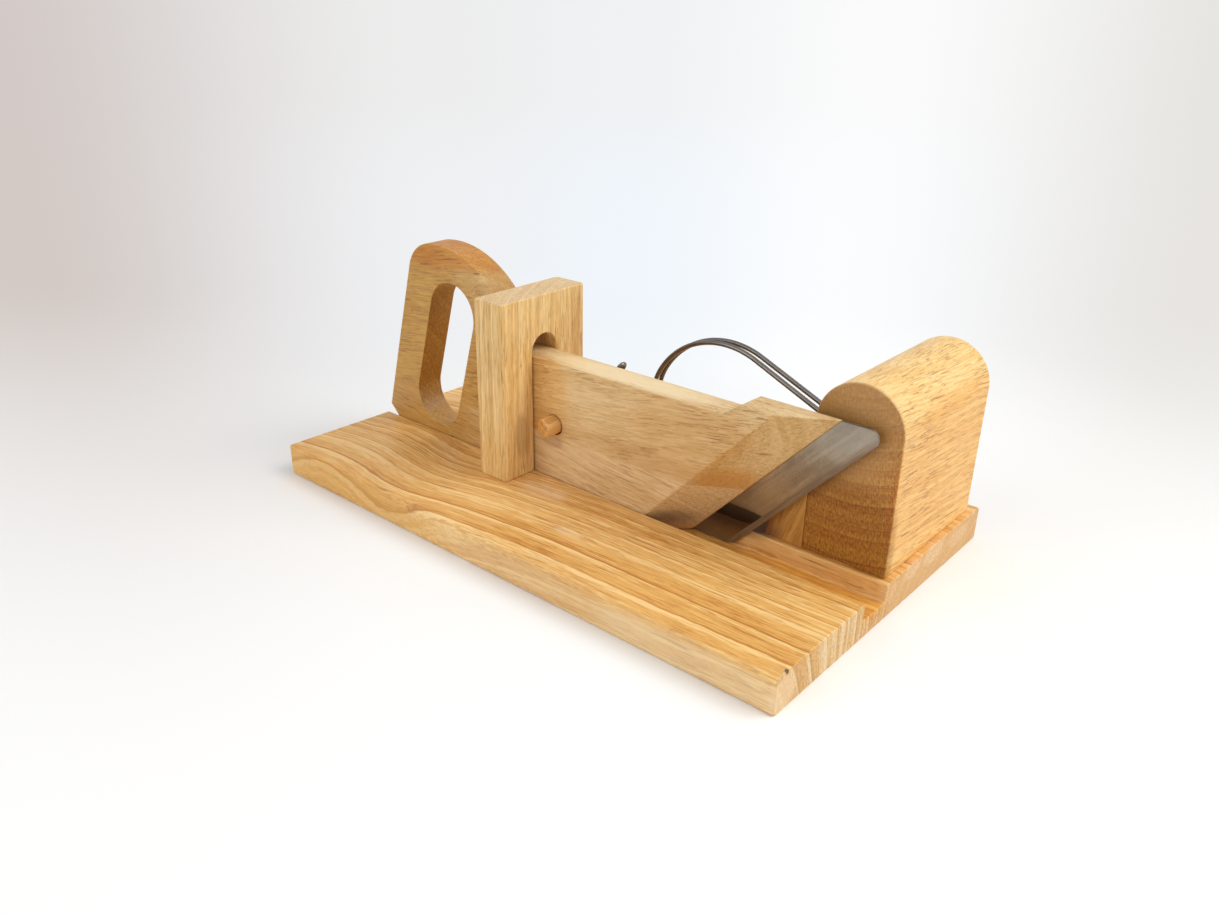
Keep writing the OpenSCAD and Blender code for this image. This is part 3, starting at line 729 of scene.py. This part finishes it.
BOARD_TOP = 16.0
board_rings = sawn_rings(
    [(-100, 0.2), (-93, 0.3), (-88, 0.2), (-76, 0.75), (-65, 1.0), (-52, 0.35), (-44, 0.7),
     (-38, 0.3), (-35, 0.6), (-29, 0.8), (-25, 0.3), (-18, 0.6), (-10, 0.3), (-2, 0.8), (7, 0.4),
     (17, 0.7), (28, 0.3), (40, 0.6), (53, 0.35), (67, 0.6), (82, 0.3), (100, 0.5), (116, 0.3),
     (134, 0.5), (150, 0.3)],
    BOARD_TOP, ((-90, -30, 0.65, 0.0), (-15, 50, 0.0, -2.2)))
board_wood = wood("board wood", (0.96, 0.655, 0.29), (0.82, 0.46, 0.14), (0.60, 0.26, 0.05),
                  (0.50, 0.19, 0.03), board_rings, lean=(0.02, 0.0), wave=1.3, stretch=80.0,
                  swing=(3.0, 100.0, -115.0, -75.0, 10.0), drift=(-60.0, 30.0, -11.0, -3.0),
                  bands=0.58, lines=0.85, cream=0.25, streaks=0.66, fibres=1.3, pores=0.65,
                  ends=(0.80, 0.80, 0.78), end_bands=-0.25, end_lines=-0.45, specks=0.20,
                  marks=[("scuff", (0.90, 0.72, 0.52), 0.6, (-14.0, -36.0, 16.0), (14.0, 6.0, 2.0)),
                         ("scuff", (0.92, 0.74, 0.52), 0.5, (22.0, -58.0, 16.0), (8.0, 3.0, 2.0)),
                         ("oil_and_shade", (1.0, 0.98, 0.90), 1.0, (118.0, -45.0, 14.0), (70.0, 50.0, 14.0)),
                         ("oil_and_shade", (0.94, 0.90, 0.82), 1.0, (-125.0, -50.0, 16.0), (70.0, 60.0, 4.0)),
                         # Painted shadow: near-black in the shaded pocket behind the blade, at the toe
                         # of the strip.
                         ("soft_mark", (0.07, 0.025, 0.008), 0.95, (80.0, 1.0, 16.0), (9.0, 12.0, 3.0)),
                         ("oil_and_shade", (1.0, 0.85, 0.50), 1.0, (100.0, -14.0, 6.5), (90.0, 10.0, 4.0)),
                         ("plain", (0.72, 0.39, 0.12), 0.55, (100.0, -4.5, 12.0), (90.0, 1.5, 5.5)),
                         # Painted shade: two thin dark lines along the front foot of the block.
                         ("plain", (0.30, 0.13, 0.04), 0.7, (112.5, -5.7, 13.6), (10.0, 1.0, 0.5)),
                         ("plain", (0.30, 0.13, 0.04), 0.6, (130.0, -5.7, 10.0), (8.0, 1.0, 0.4)),
                         ("plain", (0.70, 0.36, 0.06), 0.55, (-100.0, -87.0, 6.5), (64.0, 3.0, 9.0)),
                         ("plain", (0.76, 0.49, 0.24), 0.45, (30.0, -87.0, 7.0), (52.0, 4.0, 7.5)),
                         ("plain", (0.86, 0.64, 0.38), 0.5, (110.0, -87.0, 7.0), (46.0, 4.0, 8.0)),
                         ("plain", (0.96, 0.70, 0.42), 0.5, (145.0, -80.0, 7.0), (4.0, 8.0, 9.0)),
                         ("dry", (0.86, 0.70, 0.50), 0.5, (145.0, -42.0, 8.0), (4.0, 30.0, 9.0)),
                         ("plain", (0.72, 0.43, 0.17), 0.5, (145.0, 45.0, 7.0), (4.0, 50.0, 12.0)),
                         ("scuff", (0.90, 0.66, 0.40), 0.5, (145.0, -3.0, 12.0), (4.0, 6.0, 5.0)),
                         ("scuff", (0.95, 0.76, 0.54), 0.6, (145.0, 18.0, 13.0), (4.0, 8.0, 4.0)),
                         ("scuff", (0.96, 0.78, 0.56), 0.65, (145.0, 38.0, 12.5), (4.0, 10.0, 4.5)),
                         ("scuff", (0.93, 0.72, 0.46), 0.5, (145.0, 64.0, 10.0), (4.0, 10.0, 4.0)),
                         ("oil_and_shade", (0.98, 0.92, 0.84), 1.0, (145.0, 40.0, 8.0), (4.0, 60.0, 14.0)),
                         ("plain", (0.05, 0.03, 0.02), 0.9, (144.9, -79.2, 16.0), (1.2, 1.1, 1.5))])
post_wood = wood("post wood", (0.88, 0.63, 0.29), (0.76, 0.475, 0.17), (0.56, 0.28, 0.075),
                 (0.48, 0.23, 0.06), round_rings((90.0, 60.0), 6.0), grain=2, lean=(0.02, 0.01),
                 wave=1.5, bands=0.25, lines=0.10, streaks=0.50, fibres=1.2, pores=0.65,
                 ends=(0.90, 0.91, 1.06), end_bands=-0.2, specks=0.10,
                 marks=[("plain", (0.42, 0.23, 0.08), 0.45, (-32.0, -31.0, 36.0), (3.0, 5.0, 11.0)),
                        # Painted shade: the back part of the post's right face multiplied darker.
                        ("oil_and_shade", (0.90, 0.83, 0.74), 1.0, (-32.0, 9.0, 60.0), (4.0, 8.0, 38.0)),
                        # Painted shade: the inside of the arch slot multiplied darker.
                        ("oil_and_shade", (0.62, 0.52, 0.42), 1.0, (-41.0, -15.2, 76.0), (8.0, 7.6, 11.0))])
block_wood = wood("block wood", (0.94, 0.66, 0.28), (0.85, 0.52, 0.17), (0.66, 0.33, 0.08),
                  (0.56, 0.26, 0.05), round_rings((117.0, 127.0), 6.0), grain=1, lean=(0.0, -0.08),
                  wave=1.8, bands=0.12, lines=0.10, streaks=0.66, fibres=1.3, pores=0.85,
                  ends=(0.56, 0.41, 0.25), end_bands=0.52, end_lines=0.50, end_streaks=1.0,
                  specks=0.35,
                  marks=[("plain", (0.43, 0.23, 0.075), 0.6, (116.0, -3.0, 78.0), (34.0, 2.5, 30.0)),
                         ("oil_and_shade", (1.0, 0.86, 0.65), 1.0, (143.0, 40.0, 48.0), (5.0, 70.0, 42.0)),
                         ("oil_and_shade", (0.68, 0.57, 0.28), 1.0, (124.0, -2.0, 25.0), (40.0, 6.0, 26.0))])
strip_wood = wood("strip wood", (0.56, 0.29, 0.07), (0.46, 0.21, 0.04), (0.32, 0.12, 0.02),
                  (0.24, 0.08, 0.01), round_rings((180.0, 140.0), 7.0), grain=2, lean=(0.35, 0.0),
                  wave=1.5, bands=0.20, lines=0.25, cream=0.05, streaks=0.45, fibres=1.2,
                  ends=(0.72, 0.60, 0.48),
                  # Painted shadow: dark in the shaded pocket behind the blade, on the toe of the strip.
                  marks=[("soft_mark", (0.11, 0.036, 0.008), 0.75, (84.0, -2.0, 16.0), (8.5, 6.0, 9.0))])
upper_wood = wood("upper board wood", (0.79, 0.57, 0.29), (0.67, 0.43, 0.175), (0.48, 0.26, 0.08),
                  (0.44, 0.21, 0.06), round_rings((-70.0, 30.0), 9.0), lean=(0.01, 0.14), wave=3.0,
                  stretch=55.0, bands=0.12, lines=0.06, cream=0.04, streaks=0.30, fibres=1.2,
                  pores=0.75, ends=(0.66, 0.54, 0.27),
                  marks=[("oil_and_shade", (0.77, 0.61, 0.26), 1.0, (-110.0, -15.0, 60.0), (70.0, 30.0, 70.0)),
                         ("oil_and_shade", (0.95, 0.69, 0.29), 1.0, (-95.0, -15.0, 112.0), (44.0, 30.0, 9.0)),
                         ("oil_and_shade", (1.0, 0.88, 0.70), 1.0, (-30.0, -23.0, 60.0), (16.0, 4.0, 40.0)),
                         ("oil_and_shade", (0.94, 0.85, 0.74), 1.0, (62.0, -23.0, 60.0), (34.0, 4.0, 18.0)),
                         ("plain", (0.94, 0.75, 0.46), 0.7, (12.0, -15.0, 75.2), (64.0, 9.0, 1.6)),
                         ("plain", (0.94, 0.73, 0.42), 0.6, (100.0, -14.0, 82.2), (26.0, 10.0, 1.6)),
                         ("soft_mark", (0.53, 0.26, 0.08), 0.5, (42.0, -16.0, 42.0), (66.0, 12.0, 6.5)),
                         ("oil_and_shade", (0.97, 0.84, 0.60), 1.0, (68.0, -13.0, 42.0), (16.0, 9.0, 10.0)),
                         ("plain", (0.20, 0.09, 0.03), 0.5, (90.0, -17.0, 59.0), (3.0, 6.0, 0.5)),
                         ("plain", (0.10, 0.05, 0.02), 0.8, (-132.0, -23.0, 66.0), (4.5, 2.0, 0.45))])
lower_wood = wood("lower board wood", (0.79, 0.56, 0.31), (0.67, 0.43, 0.19), (0.50, 0.28, 0.10),
                  (0.46, 0.23, 0.08), round_rings((-90.0, -70.0), 6.0), lean=(0.0, -0.10), wave=2.5,
                  bands=0.10, lines=0.06, cream=0.05, streaks=0.28, fibres=1.0, pores=0.7,
                  ends=(0.70, 0.62, 0.44),
                  marks=[("oil_and_shade", (0.76, 0.61, 0.29), 1.0, (-125.0, -15.0, 25.0), (60.0, 30.0, 40.0)),
                         # Painted shadow of the peg on the lower board, together with a stain there.
                         ("plain", (0.30, 0.15, 0.07), 0.4, (-20.5, -23.0, 35.0), (6.0, 3.0, 3.2)),
                         # Painted shade: dark at the foot of the nose, where it stands in the groove.
                         ("soft_mark", (0.16, 0.08, 0.03), 0.75, (60.0, -19.0, 15.5), (22.0, 7.0, 5.0))])
peg_wood = wood("peg wood", (0.86, 0.52, 0.20), (0.76, 0.42, 0.12), (0.52, 0.22, 0.05),
                (0.40, 0.16, 0.04), round_rings((-30.0, 20.0), 2.4), grain=1, wave=0.8, bands=0.4,
                ends=(0.80, 0.66, 0.50))
blade_steel = steel("blade steel", (0.38, 0.32, 0.245), (0.20, 0.145, 0.095),
                    (0.0, math.radians(47), 0.0), brushed=0.45, stains=0.85, rough=0.30,
                    # The ground edge's greyer tone is painted to stand for the reflection of the pale
                    # room.
                    ground=(0.38, 0.36, 0.335),
                    # Painted highlight: pale grey near the heel of the blade.
                    patches=[((0.40, 0.40, 0.39), 0.15, (120.0, -8.0, 76.0), (18.0, 4.0, 10.0), 0.6),
                             # Painted reflections: darker brown in the middle, lighter grey low down,
                             # and a near-black band with a sharp top edge mirroring the dark gap under
                             # the nose.
                             ((0.15, 0.115, 0.075), 0.45, (66.0, -8.0, 38.0), (18.0, 4.0, 14.0), 0.6),
                             ((0.28, 0.27, 0.25), 0.7, (66.0, -8.0, 12.0), (26.0, 4.0, 9.0), 0.5),
                             ((0.045, 0.036, 0.03), 0.55, (72.0, -8.0, 22.5), (18.0, 4.0, 6.0), 0.6),
                             ((0.045, 0.036, 0.03), 0.90, (71.0, -8.0, 24.6), (22.0, 4.0, 3.4), 0.12)])
wire_steel = steel("wire steel", (0.20, 0.188, 0.18), (0.10, 0.088, 0.075), (0.0, 0.0, 0.0),
                   brushed=0.3, stains=0.5, rough=0.26)
screw_steel = steel("screw steel", (0.70, 0.69, 0.66), (0.42, 0.40, 0.36), (0.0, 0.0, 0.0),
                    brushed=0.2, stains=0.4, rough=0.30)


# Wooden pieces

X_AXIS, Y_AXIS, Z_AXIS = 0, 1, 2
post_screw_places = two_screws("post_screws", 3.8 * MM)
block_screw_places = two_screws("block_screws", 4.75 * MM)
shank_low, shank_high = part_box("wire_shanks")
leg_places = [(shank_low.x, shank_low.y, shank_low.z), (shank_low.x, shank_high.y, shank_low.z)]
upright_holes = [(p, Z_AXIS, 4.4 * MM) for p in post_screw_places]
upright_holes += [(p, Z_AXIS, 5.4 * MM) for p in block_screw_places]
wire_holes = [(p, X_AXIS, 3.0 * MM) for p in leg_places]

timber("board", "base_board", board_wood, 0.7 * MM, "board_wood", upright_holes)
timber("post", "guide_post", post_wood, 0.7 * MM, "post_wood", upright_holes)
timber("block", "end_block", block_wood, 0.9 * MM, "block_wood", upright_holes + wire_holes)
timber("strip", "cradle_strip", strip_wood, 0.4 * MM, "arm_wood")

glue_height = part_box("arm_lower_board")[1].z
peg_low, peg_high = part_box("lock_peg")
peg_middle = (peg_low + peg_high) / 2
blade_screw_low, blade_screw_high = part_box("blade_screws")
head = 2.85 * MM
blade_screw_places = [(blade_screw_low.x + head, blade_screw_high.y, blade_screw_low.z + head),
                      (blade_screw_high.x - head, blade_screw_high.y, blade_screw_high.z - head)]
reach = np.subtract(blade_screw_places[1], blade_screw_places[0])
MIDDLE_SHARE = (0.48 - 0.17) / (0.77 - 0.17)
blade_screw_places.insert(1, tuple(np.add(blade_screw_places[0], MIDDLE_SHARE * reach)))
arm_holes = [(peg_middle, Y_AXIS, 5.6 * MM)] + [(p, Y_AXIS, 3.4 * MM) for p in blade_screw_places]
for name, node, material, upper in (("upper_board", "arm_upper_board", upper_wood, True),
                                    ("lower_board", "arm_lower_board", lower_wood, False)):
    arm = welded_copy(["arm_upper_board", "arm_lower_board"], glue_height)
    round_edges(arm, 1.0 * MM, arm_holes)
    keep_side(arm, glue_height, upper)
    finish_shell(name, arm, material, "arm", "arm_wood", node)

# The peg, sawn at a slant at its front end, lies against one side of its hole
PEG_R, PEG_L = 4.5, 21.0
peg_profile = [(0.0, 0.0), (PEG_R - 0.7, 0.0), (PEG_R - 0.2, 0.2), (PEG_R, 0.7), (PEG_R, 7.0),
               (PEG_R, 14.0), (PEG_R, PEG_L - 1.0), (PEG_R - 0.15, PEG_L - 0.5),
               (PEG_R - 0.5, PEG_L - 0.15), (PEG_R - 1.1, PEG_L), (0.0, PEG_L)]
peg_points = turned(peg_profile, 48)
PEG_SLANT, PEG_LEFT, PEG_RAISED = 0.28, 0.25, 0.12
skew = np.clip((peg_points[..., 2] - 14.0) / (PEG_L - 14.0), 0, 1)
peg_points[..., 2] += skew * PEG_SLANT * (peg_points[..., 0] + PEG_R)
peg_place = np.stack([peg_points[..., 0] - PEG_LEFT, -peg_points[..., 2],
                      peg_points[..., 1] + PEG_RAISED], axis=-1) * MM
peg_place += (peg_middle.x, peg_high.y, peg_middle.z)
peg = new_piece("peg", peg_place.reshape(-1, 3), grid_faces(len(peg_profile), 48, True), peg_wood)
face_outwards(peg)
even_shading(peg)
dress(peg, "peg", "peg_wood", "lock_peg")


# Metal pieces

WIRE_R, WIRE_SIDES = 1.15, 16
wire_path, wire_normals = hairpin((102.0, 56.5), 38.5, 6.2, 4.4)
wire_points = ring_tube(wire_path, wire_normals, WIRE_R, WIRE_SIDES) * MM
wire_faces = grid_faces(len(wire_path), WIRE_SIDES, True)
wire_faces += [list(range(WIRE_SIDES)), list(range(len(wire_points) - WIRE_SIDES, len(wire_points)))]
wire = new_piece("wire", wire_points, wire_faces, wire_steel)
face_outwards(wire)
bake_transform(wire)
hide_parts("hold_down_wire", "wire_shanks")

add_screws("post_fixings", post_screw_places, (0, 0, 1), 4.0, 44.0, "base", "post_screws")
add_screws("block_fixings", block_screw_places, (0, 0, 1), 5.0, 52.0, "base", "block_screws")
add_screws("blade_fixings", blade_screw_places, (0, -1, 0), 3.0, 10.0, "arm", "blade_screws")

blade_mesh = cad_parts["blade"].data
blade_mesh.materials.clear()
blade_mesh.materials.append(blade_steel)
